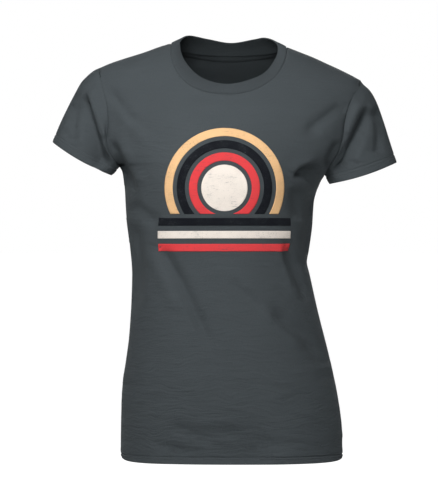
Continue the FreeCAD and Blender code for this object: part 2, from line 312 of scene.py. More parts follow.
class Face:
    """The front or the back of the body: its depth at each height, and how its rows run."""

    def __init__(self, name, sign, depth, armhole_depth, row_middles, neck_squareness, lobes):
        self.name = name
        self.sign = sign
        self.depth = through(depth)
        self.armhole_depth = armhole_depth
        # heights on the middle line, of the rows at the hem, underarm, shoulder tip and neck
        self.row_middles = row_middles
        # of the neck seam's oval, on the right and on the left
        self.neck_squareness = neck_squareness
        # paired soft bulges: height, reach, width, length, rise
        self.lobes = lobes

    def bulge(self, x, z):
        """How far the soft bulges rise from the panel."""
        total = np.zeros(np.broadcast(x, z).shape)
        for height, reach, spread_x, spread_z, rise in self.lobes:
            for sign in (-1, 1):
                across = (x - middle_line(z) - sign * reach) / spread_x
                total += rise * np.exp(-across ** 2 - ((z - height) / spread_z) ** 2)
        return total

    def out(self, x, z):
        """How far the panel stands from the y = 0 plane at a place in front view."""
        x, z = np.broadcast_arrays(np.asarray(x, float), np.asarray(z, float))
        middle = middle_line(z)
        right = x < middle
        reach = np.where(right, RIGHT.reach(z) + middle, LEFT.reach(z) - middle)
        oval = np.where(right, RIGHT.roundness(z), LEFT.roundness(z))
        share = np.where(right, RIGHT.armhole_share(z), LEFT.armhole_share(z))
        in_armhole = np.where(right, RIGHT.at_armhole(z), LEFT.at_armhole(z))
        edge = np.where(in_armhole, self.armhole_depth * share, 0)
        across = np.abs(x - middle)
        depth = self.depth(z)
        level = depth * np.sqrt(np.clip(1 - (across / oval) ** 2, 0, 1))
        level_at_edge = depth * np.sqrt(np.clip(1 - (reach / oval) ** 2, 0, 1))
        below = z - np.where(right, RIGHT.underarm, LEFT.underarm)
        power = SIDE_TURN + UNDERARM_TURN * np.exp(-(below / UNDERARM_TURN_RUN) ** 2)
        turn = 1 - np.sqrt(np.clip(1 - np.clip(across / reach, 0, 1) ** power, 0, 1))
        fade = np.sqrt(np.clip(1 - (across / reach) ** 2, 0, 1))
        return level - (level_at_edge - edge) * turn + self.bulge(x, z) * fade

    def place(self, x, z):
        """The place in space of a place in front view."""
        return np.stack([x, self.sign * self.out(x, z), z], axis=-1)


FRONT = Face(
    "front", -1,
    depth=[(-640, 119), (-600, 118), (-534, 115), (-444, 107), (-390, 103), (-330, 102), (-290, 105),
           (-255, 111), (-220, 116), (-190, 117), (-160, 114), (-130, 107), (-100, 96), (-79.4, 83),
           (-54, 71), (-36, 60), (-21, 50), (-8, 42), (2, 36)],
    armhole_depth=50, row_middles=(HEM_EDGE, -200, -118, -79.4), neck_squareness=(2.4, 2.05),
    lobes=[(-208, 66, 42, 46, 6)],
)
BACK = Face(
    "back", 1,
    depth=[(-640, 122), (-600, 122), (-534, 120), (-444, 109), (-390, 99), (-330, 92), (-290, 91),
           (-255, 94), (-190, 102), (-150, 106), (-120, 105), (-100, 101), (-54, 83), (-30, 71), (-14, 65),
           (-3, 60), (2, 57)],
    armhole_depth=53, row_middles=(HEM_EDGE, -200, -62, -14), neck_squareness=(2, 2),
    lobes=[(-130, 78, 40, 45, 3)],
)


# ---- Folds

def crease(x, z, path, depth, left, right, start=0.25, end=0.25):
    """A soft valley along a path in front view, with its own width on each side of its way."""
    way = spline(path, 40)
    ahead = unit(np.gradient(way, axis=0))
    flat_x, flat_z = x.reshape(-1), z.reshape(-1)
    away = (flat_x[:, None] - way[:, 0]) ** 2 + (flat_z[:, None] - way[:, 1]) ** 2
    near = np.argmin(away, axis=1)
    gap_x, gap_z = flat_x - way[near, 0], flat_z - way[near, 1]
    leftward = gap_z * ahead[near, 0] - gap_x * ahead[near, 1]
    width = np.where(leftward > 0, left, right)
    along = near / (len(way) - 1)
    window = ease(along / start) * ease((1 - along) / end)
    return (-depth * window * np.exp(-away[np.arange(len(near)), near] / width ** 2)).reshape(x.shape)


# path in front view, depth, width on the left of its way, width on its right; a negative depth is a ridge
FRONT_FOLDS = [
    # drag lines from the right shoulder and underarm
    ([(-183, -60), (-166, -88), (-150, -110), (-131, -131)], 2.6, 8, 7),
    ([(-172, -84), (-152, -112), (-136, -134), (-118, -160)], -1.8, 9, 9),
    ([(-180, -142), (-171, -163), (-160, -184), (-149, -206), (-138, -232)], 4.8, 8, 8),
    ([(-164, -146), (-152, -170), (-140, -194), (-130, -222)], -1.8, 9, 8),
    # under the right of the bust, and down that side
    ([(-146, -236), (-134, -250), (-118, -262), (-98, -272)], 3.0, 10, 12),
    ([(-145, -262), (-139, -300), (-137, -350), (-142, -410)], 4.4, 11, 8),
    # pocket under the left of the bust, and down that side
    ([(98, -206), (103, -195), (115, -187.5), (130, -184.5), (142, -190)], 6.5, 3.5, 17),
    ([(92, -200), (101, -186), (116, -178), (134, -174)], -1.3, 9, 5),
    ([(104, -212), (103, -240), (106, -268)], 4.0, 10, 12),
    ([(124, -214), (121, -250), (118, -290), (116, -320)], 3.0, 8, 8),
    # drag lines from the left shoulder and underarm
    ([(177, -86), (156, -103), (130, -124), (106, -140)], 3.2, 12, 9),
    ([(172, -100), (150, -118), (126, -140)], -1.4, 10, 10),
    ([(166, -148), (156, -166), (144, -188)], 4.0, 5, 8),
    # long diagonals over the waist
    ([(-116, -292), (-98, -314), (-86.6, -334), (-75, -353), (-62, -380), (-50, -405), (-36, -434),
      (-16, -466)], 5.0, 11, 7),
    ([(-124, -300), (-106, -336), (-88, -372), (-72, -408)], -1.8, 10, 10),
    ([(82, -290), (90, -315), (98, -334), (110, -362), (120, -392)], 4.4, 6.5, 9),
    ([(70, -296), (80, -322), (92, -356), (104, -386)], -2.0, 8, 8),
    ([(80, -304), (86, -326), (94, -352), (101, -376)], 1.6, 5, 5),
    ([(58, -384), (76, -404), (94, -421), (111, -435), (128, -458), (140, -490)], 4.8, 9, 12),
    ([(44, -392), (66, -418), (92, -438), (112, -456)], -1.8, 9, 9),
    ([(-2, -350), (22, -372), (50, -396)], 1.6, 7, 7),
    # slack above the hem
    ([(-122, -608), (-60, -613), (14, -613), (84, -604)], 8.0, 38, 15),
    ([(-94, -560), (-70, -574), (-38, -580), (0, -576), (30, -584)], 2.6, 11, 13),
    ([(-120, -592), (-80, -602), (-36, -604)], 1.8, 6, 10),
    ([(34, -586), (74, -594), (120, -590)], 1.4, 7, 8),
]
BACK_FOLDS = [
    ([(-174, -78), (-150, -108), (-128, -142)], 2.4, 9, 9),
    ([(176, -92), (152, -120), (128, -150)], 2.4, 9, 9),
    ([(-168, -158), (-148, -190), (-136, -226)], 3.0, 8, 8),
    ([(150, -168), (134, -196), (122, -232)], 3.0, 8, 8),
    ([(-120, -300), (-70, -322), (-10, -330), (50, -322), (98, -298)], 2.6, 12, 9),
    ([(-128, -338), (-76, -352), (-14, -358), (48, -350), (102, -332)], 2.2, 10, 9),
    ([(-132, -375), (-88, -392), (-40, -400)], 1.8, 10, 9),
    ([(108, -368), (66, -388), (18, -398)], 1.8, 10, 9),
    ([(-12, -96), (-14, -150), (-12, -210)], 1.2, 16, 16),
]


LOOSE_BELOW = -400  # height at which the cloth starts to hang loose
LOOSE_RUN = 130  # height over which it gets fully loose
CALM_BELOW = -596  # height at which the hem starts to hold it
CALM_RUN = 24
CALM = 0.55  # how much of its looseness the hem takes away


def crinkles(x, z, seed):
    """Fine level ripples of a jersey that isn't pressed, strongest above the hem."""
    low = ease((LOOSE_BELOW - z) / LOOSE_RUN) * (1 - CALM * ease((CALM_BELOW - z) / CALM_RUN))
    bend = 5 * np.sin(x / 47 + seed) + 3 * np.sin(x / 23 - z / 90)
    fine = value_noise(x, z + bend, 26, 6.5, seed) * (0.5 + value_noise(x, z, 60, 34, seed + 1))
    broad = value_noise(x + 0.2 * z, z + 2 * bend, 44, 13, seed + 2)
    soft = value_noise(x, z, 95, 80, seed + 3)
    patches = 0.35 + 0.65 * np.abs(value_noise(x, z, 80, 60, seed + 4))
    return (0.22 + 0.66 * low) * fine + (0.32 + 1.28 * low) * patches * broad + 1.2 * soft


def rumple(face, x, z):
    """How far the panel's folds and crinkles stand out of its smooth shape."""
    folds, seed = (FRONT_FOLDS, 5) if face is FRONT else (BACK_FOLDS, 31)
    total = crinkles(x, z, seed)
    for path, depth, left, right in folds:
        total = total + FOLD_STRENGTH * crease(x, z, path, depth, left, right)
    return total


# ---- Body panels

def row_edges(side, along):
    """Height of a row's end on one side. Along is 0 at the hem, 1 underarm, 2 shoulder tip, 3 neck."""
    low = HEM_EDGE + (side.underarm - HEM_EDGE) * np.clip(along, 0, 1)
    middle, half = side.armhole_span()
    arm = middle - half * np.cos(math.pi * np.clip(along - 1, 0, 1))
    # evenly spaced along the shoulder seam, which is close to even in reach
    ridge_z = np.linspace(side.tip, side.neck, 200)
    ridge_length = arc_lengths(np.stack([side.ridge(ridge_z), ridge_z], axis=-1), 0)
    top = np.interp(np.clip(along - 2, 0, 1) * ridge_length[-1], ridge_length, ridge_z)
    return np.where(along <= 1, low, np.where(along <= 2, arm, top))


def hem_rise(z):
    """How much higher a row lies at the side seams than in the middle, because the hem curves up there."""
    return SIDE_RISE * np.exp(-(z - HEM_EDGE) / SIDE_RISE_RUN)


def panel_view(face, along, across):
    """Front-view place of a panel's grid. Across runs from -1 at the right edge to 1 at the left edge."""
    along, across = np.meshgrid(along, across, indexing="ij")
    z_middle = np.interp(along, (0, 1, 2, 3), face.row_middles)
    opened = 1 - ARMHOLE_OPENING * np.sin(math.pi * np.clip(along - 1, 0, 1)) ** 2
    psi = np.abs(across) * math.pi / 2 * opened
    psi_edge = math.pi / 2 * opened
    x = np.zeros_like(along)
    z = np.zeros_like(along)
    for side, chosen, squareness in zip((RIGHT, LEFT), (across <= 0, across > 0), face.neck_squareness):
        z_edge = row_edges(side, along)
        middle = middle_line(z_edge)
        x_edge = side.sign * side.reach(z_edge + hem_rise(z_edge))
        power = 2 / (2 + (squareness - 2) * ease(along - 2))
        sine = (np.sin(psi) / np.sin(psi_edge)) ** power
        smile = (1 - np.cos(psi) ** power) / (1 - np.cos(psi_edge) ** power)
        x = np.where(chosen, middle + (x_edge - middle) * sine, x)
        z = np.where(chosen, z_middle + (z_edge - z_middle) * smile, z)
    return x, z + hem_rise(z) * np.abs(across) ** SIDE_RISE_TURN


def hem_relief(above, depth):
    """A hem's fine relief, by the height above its edge: two needle rows over the puffed layer."""
    relief = HEM_PUFF * (1 - ease((above - STITCH_ROWS[0] * depth + NEEDLE_RUN / 2) / NEEDLE_RUN))
    for share, pull in zip(STITCH_ROWS, NEEDLE_PULLS):
        relief = relief - pull * np.exp(-((above - share * depth) / NEEDLE_RUN) ** 2)
    return relief


def body_lift(face, x, z, from_seam):
    """How far the finished cloth lies outside the smooth shape, by its distance from the nearest seam."""
    lift = PUFF * (1 - np.exp(-from_seam / PUFF_RUN)) + rumple(face, x, z) * ease(from_seam / FOLD_RUN)
    return lift + hem_relief(z - HEM_EDGE, HEM_DEPTH)


def spaced(count):
    """Even steps from -1 to 1, with one extra step close to each end."""
    even = np.linspace(-1, 1, count)[1:-1]
    return np.concatenate([[-1, -1 + EDGE_STEP], even, [1 - EDGE_STEP, 1]])


def panel_rows():
    """Rows of a panel's grid: close together in the hem, and one extra row close to the neck seam."""
    hem = np.linspace(HEM_TURN, 15, 24) / HEM_TO_UNDERARM
    body = np.linspace(hem[-1], 1, 180)[1:]
    arm = np.linspace(1, 2, 52)[1:]
    shoulder = np.concatenate([np.linspace(2, 3, 30)[1:-1], [2.992, 3]])
    return np.concatenate([hem, body, arm, shoulder])


def body_panel(face):
    """The front or back panel, with its folds, as one cloth."""
    along = panel_rows()
    x, z = panel_view(face, along, spaced(PANEL_COLUMNS))
    smooth = face.place(x, z)
    sewn = (along <= 1) | (along >= 2)
    smooth[sewn, 0, 1] = smooth[sewn, -1, 1] = 0        # the front and the back meet at the seams
    run, up = arc_lengths(smooth, 1), arc_lengths(smooth, 0)
    from_side = np.minimum(run, run[:, -1:] - run)
    from_seam = np.minimum(from_side, up[-1:] - up)
    points = smooth - face.sign * grid_normals(smooth) * body_lift(face, x, z, from_seam)[..., None]
    piece = grid_mesh(f"{face.name}_panel_cloth", points, flip=face is BACK)
    # the inner face takes the jersey's darker copy, which is painted shade
    return thicken(piece, JERSEY, shaded_inner_finish=1)


def body_loop(along, out):
    """A level line right round the finished body, at a row below the underarm, set out from the cloth."""
    across = spaced(HALF_HEM_COLUMNS)
    step = 0.002
    rows = []
    for face, way in ((FRONT, across), (BACK, -across)):
        x, z = panel_view(face, along + np.array([-step, 0, step]), way)
        rows.append(face.place(x, z)[:, :-1])
    smooth = np.concatenate(rows, axis=1)
    normals = grid_normals(smooth, closed=True)[1]
    smooth = smooth[1]
    run = arc_lengths(np.concatenate([smooth, smooth[:1]])[None], 1)[0, :-1]
    half = len(smooth) // 2
    length = np.linalg.norm(smooth[-1] - smooth[0]) + run[-1]
    from_seam = np.minimum(np.abs(run - run[half]), np.minimum(run, length - run))
    front, back = (body_lift(face, smooth[:, 0], smooth[:, 2], from_seam) for face in (FRONT, BACK))
    lift = np.where(np.arange(len(smooth)) < half, front, back)
    return smooth + normals * (lift + out)[:, None]


# ---- Sleeves

def at_turn(top, under, cosine):
    """The value between top and under at a turn with the given cosine."""
    return (top + under) / 2 + (top - under) / 2 * cosine


class Sleeve:
    """A short sleeve, from its armhole to its opening, as seen lines and depths."""

    def __init__(self, side, top_line, under_line, depth_start, depth_end, bow, folds, seed):
        self.name = f"{side.name}_sleeve"
        self.side = side
        self.top = spline(top_line, 120)
        self.under = spline(under_line, 60)
        self.top_run = arc_lengths(self.top, 0)
        self.under_run = arc_lengths(self.under, 0)
        # half depths in front and behind, at the armhole and at the opening
        self.depth_start = depth_start
        self.depth_end = depth_end
        self.bow = bow                          # how far the front half leans down at the opening
        self.folds = folds
        self.seed = seed

    def share_at(self, height):
        """The share of the way along the sleeve at a height above its opening's edge."""
        return 1 - height * (1 - HEM_SHARE) / SLEEVE_HEM_ZONE

    def way(self, along, length):
        """Distance from the armhole along a line of a given length. Close to the opening all run evenly."""
        hem_start = length - SLEEVE_HEM_ZONE
        past = hem_start + SLEEVE_HEM_ZONE * (along - HEM_SHARE) / (1 - HEM_SHARE)
        return np.where(along < HEM_SHARE, hem_start * along / HEM_SHARE, past)

    def lines(self, along):
        """The top and underarm points at a share of the way."""
        return [along_line(self.way(along, run[-1]), run, line)
                for line, run in ((self.top, self.top_run), (self.under, self.under_run))]

    def place(self, turn, along):
        """A place on the smooth sleeve. Turn is an angle: 0 on top, a quarter turn in front."""
        turn, along = np.broadcast_arrays(turn, along)
        (top_x, top_z), (under_x, under_z) = self.lines(along)
        cosine, sine = np.cos(turn), np.sin(turn)
        x = at_turn(top_x, under_x, cosine)
        z = at_turn(top_z, under_z, cosine)
        share = ease(along)
        start_depth = np.where(sine > 0, *self.depth_start)
        depth = start_depth + (np.where(sine > 0, *self.depth_end) - start_depth) * share
        side = self.side
        seam_x = side.armhole(at_turn(side.tip, side.underarm, cosine))
        straight = at_turn(side.reach(side.tip), side.reach(side.underarm), cosine)
        x = x + (seam_x - straight) * (1 - ease(along / 0.5))
        lean_x, lean_z = top_z - under_z, -(top_x - under_x)
        scale = np.where(sine > 0, self.bow, 0) * sine ** 2 * along ** 2 / np.hypot(lean_x, lean_z)
        x = side.sign * (x + lean_x * scale)
        return np.stack([x, -sine * depth, z + lean_z * scale], axis=-1)

    def normals(self, turn, along):
        """Outward normals of the smooth sleeve."""
        step = 1e-3
        ahead = self.place(turn, np.minimum(along + step, 1))
        ahead = ahead - self.place(turn, np.maximum(along - step, 0))
        around = self.place(turn + step, along) - self.place(turn - step, along)
        return unit(np.cross(around, ahead)) * self.side.sign

    def lift(self, turn, along, x, z):
        """How far the finished cloth lies outside the smooth sleeve."""
        weight = (1 + np.cos(turn)) / 2
        length = self.top_run[-1] * weight + self.under_run[-1] * (1 - weight)
        run = self.way(along, length)
        folds = 0.5 * value_noise(x, z, 40, 34, self.seed)
        folds = folds + 0.25 * value_noise(x + z, z - x, 14, 26, self.seed + 1)
        front, back = ease(np.sin(turn) * 3), ease(-np.sin(turn) * 3)
        for path, depth, left, right in self.folds:
            folds = folds + FOLD_STRENGTH * front * crease(x, z, path, depth, left, right, 0.2, 0.12)
        for path, depth, left, right in BACK_SLEEVE_FOLDS:
            own = [(self.side.sign * place[0], place[1]) for place in path]
            folds = folds + FOLD_STRENGTH * back * crease(x, z, own, depth, left, right)
        shown = ease(run / (FOLD_RUN / 2)) * ease(np.abs(np.sin(turn)) * 2.5)
        above = SLEEVE_HEM_ZONE * (1 - along) / (1 - HEM_SHARE)
        relief = SLEEVE_HEM_RELIEF * hem_relief(above, SLEEVE_HEM_DEPTH)
        return PUFF * (1 - np.exp(-run / PUFF_RUN)) + folds * shown + relief

    def surface(self, turn, along, out=0):
        """The finished outer face, or a layer set out from it, over turns and shares of the way."""
        smooth, normals = self.place(turn, along), self.normals(turn, along)
        lift = self.lift(turn, along, smooth[..., 0], smooth[..., 2])
        return smooth + normals * (lift + out)[..., None]


RIGHT_SLEEVE = Sleeve(
    RIGHT,
    top_line=[(194.3, -36.5), (203, -41), (212, -48.5), (221, -58), (229, -72), (240, -93), (252, -118),
              (262, -142), (263.5, -148)],
    under_line=[(163.8, -183), (168, -188), (172.5, -193), (177.5, -196.5)],
    depth_start=(50, 53), depth_end=(40, 42), bow=4, seed=71,
    folds=[
        ([(-217, -72), (-211, -96), (-203, -122), (-195, -146), (-187, -168), (-178, -186)], 8.5, 4.2, 18),
        ([(-208, -66), (-201, -90), (-191, -118), (-183, -145)], -2.6, 6, 7),
        ([(-233, -86), (-233, -118), (-231, -150)], 3.0, 8, 8),
        ([(-250, -126), (-236, -146), (-220, -158)], 1.2, 6, 6),
    ],
)
LEFT_SLEEVE = Sleeve(
    LEFT,
    top_line=[(196.5, -54.7), (201, -61), (211.5, -71), (221, -88), (231, -115.5), (239.5, -142.5),
              (249.5, -174), (250.5, -178)],
    under_line=[(143.4, -195.5), (146, -200), (148.5, -205), (152, -210)],
    depth_start=(50, 53), depth_end=(44, 46), bow=4, seed=83,
    folds=[
        ([(212, -92), (202, -108), (194, -125), (184, -145), (176, -158), (164, -178), (156, -196)],
         8.5, 13, 5.5),
        ([(197, -86), (188, -104), (179, -122), (172, -138)], -2.0, 7, 7),
        ([(219, -92), (224, -120), (224, -144), (221, -168)], 3.2, 8, 8),
        ([(204, -132), (196, -156), (186, -180)], -1.6, 9, 9),
    ],
)
# on the left sleeve's side; the right sleeve has them mirrored
BACK_SLEEVE_FOLDS = [
    ([(214, -84), (200, -112), (186, -142), (176, -170)], 3.0, 8, 8),
    ([(230, -104), (224, -130), (214, -160)], 1.4, 8, 8),
]


def full_turn(count):
    """Evenly spaced angles all the way round."""
    return np.linspace(0, 2 * math.pi, count, endpoint=False)


def sleeve_cloth(sleeve):
    """One sleeve with its folds, from the armhole seam to the turn of its hem."""
    by_seam = np.concatenate([[0, 0.006, 0.014], np.linspace(0, HEM_SHARE, 54)[2:-1]])
    by_hem = sleeve.share_at(np.linspace(SLEEVE_HEM_ZONE, HEM_TURN, 18))
    along, turn = np.meshgrid(np.concatenate([by_seam, by_hem]), full_turn(SLEEVE_COLUMNS), indexing="ij")
    piece = grid_mesh(f"{sleeve.name}_cloth", sleeve.surface(turn, along), around=True,
                      flip=sleeve.side is RIGHT)
    # the inner face takes the jersey's darker copy, which is painted shade
    return thicken(piece, JERSEY, shaded_inner_finish=1)


# ---- Hems and seam allowances

def hem_profile(depth):
    """The turned-up part of a hem, as a closed outline: (height above the edge, how far out)."""
    bend = [(HEM_TURN - HEM_TURN * math.sin(turn), -HEM_TURN + HEM_TURN * math.cos(turn))
            for turn in np.linspace(0, math.pi, 9)]
    inner, outer = -2 * HEM_TURN, -JERSEY - LAYER_GAP
    turned_up = [(share * depth, inner) for share in (0.25, 0.4, 0.6, 0.8, 0.97)]
    back_down = [(depth, (inner + outer) / 2), (0.97 * depth, outer), (0.6 * depth, outer),
                 (0.3 * depth, outer), (1.2 * HEM_TURN, outer)]
    return bend + turned_up + back_down


def body_hem():
    """The bottom hem's turned-up layer, right round the body."""
    profile = hem_profile(HEM_DEPTH)
    points = np.stack([body_loop(height / HEM_TO_UNDERARM, out) for height, out in profile])
    return outward(grid_mesh("bottom_hem_fold", points, around=True, tube=True))


def sleeve_loop(sleeve, count, height, out):
    """A line right round a finished sleeve, level with its opening's edge, set out from the cloth."""
    turn = full_turn(count)
    return sleeve.surface(turn, np.full_like(turn, sleeve.share_at(height)), out)


def sleeve_hem(sleeve):
    """A sleeve hem's turned-up layer."""
    profile = hem_profile(SLEEVE_HEM_DEPTH)
    points = np.stack([sleeve_loop(sleeve, SLEEVE_COLUMNS, height, out) for height, out in profile])
    return outward(grid_mesh(f"{sleeve.name}_hem_fold", points, around=True, tube=True))


def outward(piece):
    """Close a strip's ends and point all its faces outwards."""
    work = bmesh.new()
    work.from_mesh(piece.data)
    bmesh.ops.holes_fill(work, edges=[edge for edge in work.edges if edge.is_boundary], sides=0)
    bmesh.ops.recalc_face_normals(work, faces=work.faces)
    work.to_mesh(piece.data)
    work.free()
    return piece


def strip_profile(width, thickness):
    """A flat strip's outline under the cloth, its two long edges rounded: (from the seam, how far out)."""
    top = -JERSEY - LAYER_GAP
    low, middle, edge = top - thickness, top - thickness / 2, thickness / 3
    return [(STRIP_START, top), (edge, top), (width / 2, top), (width - edge, top), (width, middle),
            (width - edge, low), (width / 2, low), (edge, low), (STRIP_START, low)]


def lay_strip(lines, normals, profile):
    """A strip that follows a seam. Each line starts on the seam and runs away from it over the cloth."""
    runs = arc_lengths(lines, 1)
    rows = []
    for distance, out in profile:
        places, outwards = (np.array([along_line(distance, run, line) for run, line in zip(runs, table)])
                            for table in (lines, normals))
        rows.append(places + out * outwards)
    return np.array(rows)


TURN_REACH = 5  # stretch beside a side edge where a panel's normals are checked
SEAM_REACH = 2  # stretch beside it where the seam's own normals take over


def crowded(count, power=1.4):
    """Steps from 0 to 1 that are closest together at 0."""
    return np.linspace(0, 1, count) ** power


def lines_from_edge(face, side, first, last, count):
    """Lines over a panel from one of its side edges inwards, with the cloth's normals."""
    along = np.linspace(first, last, count)
    across = side.sign * (1 - 0.22 * crowded(50))
    x, z = panel_view(face, along, across)
    smooth = face.place(x, z)
    run = arc_lengths(smooth, 1)
    ahead = np.gradient(smooth[:, :1], axis=0)
    seam_normals = unit(side.sign * np.stack([ahead[..., 2], 0 * ahead[..., 2], -ahead[..., 0]], axis=-1))
    normals = face.sign * side.sign * grid_normals(smooth)
    # where the panel turns round its side, its own normals may point inwards
    turned_in = (run < TURN_REACH) & ((normals * seam_normals).sum(axis=-1) < 0)
    facing = np.where(turned_in, -1, 1)[..., None]
    near = 1 - ease(run / SEAM_REACH)[..., None]
    normals = unit(near * seam_normals + (1 - near) * facing * normals)
    return smooth + normals * body_lift(face, x, z, run)[..., None], normals


def lines_from_neck(face, across):
    """Lines over a panel from the neck seam down, with the cloth's normals."""
    x, z = panel_view(face, 3 - 0.5 * crowded(60), across)
    smooth = face.place(x, z)
    normals = face.sign * grid_normals(smooth)
    lines = smooth + normals * body_lift(face, x, z, arc_lengths(smooth, 0))[..., None]
    return lines.transpose(1, 0, 2), normals.transpose(1, 0, 2)


def lines_from_armhole(sleeve):
    """Lines over a sleeve from its armhole outwards, with the cloth's normals."""
    along, turn = np.meshgrid(np.linspace(0, 0.9, 70) ** 1.6, full_turn(ARMHOLE_COLUMNS), indexing="ij")
    lines, normals = sleeve.surface(turn, along), sleeve.normals(turn, along)
    return lines.transpose(1, 0, 2), normals.transpose(1, 0, 2)


def seam_strip(name, lines, normals, width, thickness, around=False):
    """A flat strip under the cloth, along a seam."""
    points = lay_strip(lines, normals, strip_profile(width, thickness))
    return outward(grid_mesh(name, points, around=around, tube=True))


# ---- Neckband

# the band's free edge, from the front middle round the wearer's right side
BAND_EDGE = [
    (0.7, -73, -63), (-40.2, -62, -53.2), (-66, -37, -26.4), (-73.3, -10, -0.6), (-69.6, 11, 9.7),
    (-58.3, 30, 14.9), (-32.2, 50, 10.9), (3.2, 58.5, 5.4), (36.5, 47.5, 10), (53.5, 33, 11.9),
    (67.2, 14, 6.2), (72.9, -9, -4), (68.4, -35, -24), (47.3, -58.5, -48.9),
]
NECK_HALF_WIDTH = 80
NECK_HALF_DEPTH = 70
BAND_THICKNESS = 2.2
BAND_ARCH = 1.3  # how far the band's middle stands out from its two edges
BAND_SINK = 0.9  # how far its edges lie inside the line from the seam to the fold
BAND_PULL = 1.7  # how far its seam draws in the outer face
BAND_PULL_SHARE = 0.07  # of the band's height, over which it does so
RIB_COUNT = 280
RIB_RELIEF = 0.24


def round_angle(points):
    """Angle of a point round the neck, from the front middle by the wearer's right side."""
    return np.arctan2(-points[..., 0] / NECK_HALF_WIDTH, -points[..., 1] / NECK_HALF_DEPTH) % (2 * math.pi)


def by_angle(points, angles):
    """A closed curve's points at the given angles round the neck."""
    own = round_angle(points)
    order = np.argsort(own)
    own, points = own[order], points[order]
    own = np.concatenate([own[-3:] - 2 * math.pi, own, own[:3] + 2 * math.pi])
    points = np.concatenate([points[-3:], points, points[:3]])
    return np.stack(along_line(angles, own, points), axis=-1)


def neck_seam(angles):
    """The seam between the neckband and the panels."""
    across = np.linspace(-1, 1, 400)
    rows = []
    for face in (FRONT, BACK):
        x, z = panel_view(face, np.array([3.0]), across)
        rows.append(face.place(x, z)[0])
    return by_angle(np.concatenate([rows[0], rows[1][1:-1]]), angles)


def neckband():
    """A folded rib with its ribs running from the seam to the fold."""
    per_rib = 6
    angles = full_turn(RIB_COUNT * per_rib)
    seam = neck_seam(angles)
    edge = by_angle(spline(BAND_EDGE, 900, closed=True), angles)
    along = np.roll(seam, -1, axis=0) - np.roll(seam, 1, axis=0)
    upward = edge - seam
    outwards = unit(np.cross(upward, along))
    rib = RIB_RELIEF * np.cos(2 * math.pi * np.arange(len(angles)) / per_rib)[:, None]
    half = BAND_THICKNESS / 2
    # (share of the way up, how far out): up the outer face, round the fold, down the inner face
    outer = [(share, half)
             for share in (-0.03, 0.0, 0.04, 0.08, 0.13, 0.22, 0.36, 0.5, 0.64, 0.78, 0.88, 0.95)]
    fold = [(0.985, 0.75 * half), (1.0, 0.3 * half), (1.0, -0.3 * half), (0.985, -0.75 * half)]
    inner = [(share, -half) for share in (0.92, 0.78, 0.6, 0.4, 0.2, 0.04, -0.03)]
    rows = []
    for share, out in outer + fold + inner:
        arch = BAND_ARCH * math.sin(math.pi * min(max(share, 0), 1)) - BAND_SINK
        drawn = BAND_PULL * math.exp(-(max(share, 0) / BAND_PULL_SHARE) ** 2) if out > 0 else 0
        ribbed = math.copysign(1, out) * rib
        rows.append(seam + upward * share + outwards * (out + arch - drawn + ribbed))
    piece = outward(grid_mesh("neckband_rib", np.stack(rows), around=True, tube=True))
    # the band's inner rows take the rib's darker copy, which is painted shade for the inside of the band
    first_inner = (len(outer) + len(fold) // 2) * len(angles)
    for face in piece.data.polygons:
        face.material_index = int(min(face.vertices) >= first_inner)
    return piece


# ---- Print on the chest

DISC_X = -7
DISC_Z = -218
HORIZON = -256  # where the arches over the disc end
BAR_ENDS = (-105, 91)
INK = 0.48  # how far the ink stands proud of the cloth
INK_GAP = 0.02  # from the cloth to the ink's underside


def on_front(x, z, out):
    """Points on the finished front, at places in front view well away from its seams."""
    step = 0.5
    across = FRONT.place(x + step, z) - FRONT.place(x - step, z)
    up = FRONT.place(x, z + step) - FRONT.place(x, z - step)
    lift = body_lift(FRONT, x, z, np.full_like(x, 1000.0))
    return FRONT.place(x, z) + unit(np.cross(across, up)) * (lift + out)[..., None]


def ink_bar(top, bottom):
    """A level bar under the horizon."""
    x, z = np.meshgrid(np.linspace(*BAR_ENDS, 110), np.linspace(bottom, top, 9))
    return on_front(x, z, INK)


def ink_disc(radius):
    """A full disc, as level rows."""
    turn = np.radians(np.linspace(-88, 88, 40))[:, None]
    share = np.linspace(-1, 1, 44)[None]
    return on_front(DISC_X + radius * np.cos(turn) * share, DISC_Z + radius * np.sin(turn) + 0 * share, INK)


def ink_ring(inner, outer):
    """An arch over the disc that stands on the horizon."""
    radius = np.linspace(inner, outer, 9)[:, None]
    below = np.arcsin(np.minimum((DISC_Z - HORIZON) / radius, 1))
    share = np.linspace(0, 1, 150)[None]
    turn = math.pi + below - (math.pi + 2 * below) * share
    return on_front(DISC_X + radius * np.cos(turn), DISC_Z + radius * np.sin(turn), INK)


# each ink's shapes, as screens that are printed one after the other
INKS = {
    "cream": [ink_disc(34), ink_bar(-281, -292)],
    "coral": [ink_ring(40, 52), ink_bar(-300, -311)],
    "navy": [ink_ring(58, 70), ink_bar(-262, -273)],
    "sand": [ink_ring(76, 88)],
}


def print_screen(name, patches):
    """All shapes of one ink as one piece."""
    parts = [grid_mesh(f"{name}_{i}", points) for i, points in enumerate(patches)]
    if len(parts) > 1:
        with bpy.context.temp_override(active_object=parts[0], selected_editable_objects=parts):
            bpy.ops.object.join()
    piece = parts[0]
    piece.name = piece.data.name = f"print_{name}_ink"
    return thicken(piece, INK - INK_GAP)


# ---- Node trees

def new_tree(name, kind, inputs, outputs):
    """A node group with named sockets, and the identifier of each input.

    Each input is (name, kind, value or None), and each output is (name, kind).
    """
    tree = bpy.data.node_groups.new(name, f"{kind}NodeTree")
    ports = {}
    for label, held, value in inputs:
        socket = tree.interface.new_socket(label, in_out="INPUT", socket_type=f"NodeSocket{held}")
        if value is not None:
            socket.default_value = value
        ports[label] = socket.identifier
    for label, held in outputs:
        tree.interface.new_socket(label, in_out="OUTPUT", socket_type=f"NodeSocket{held}")
    return tree, ports


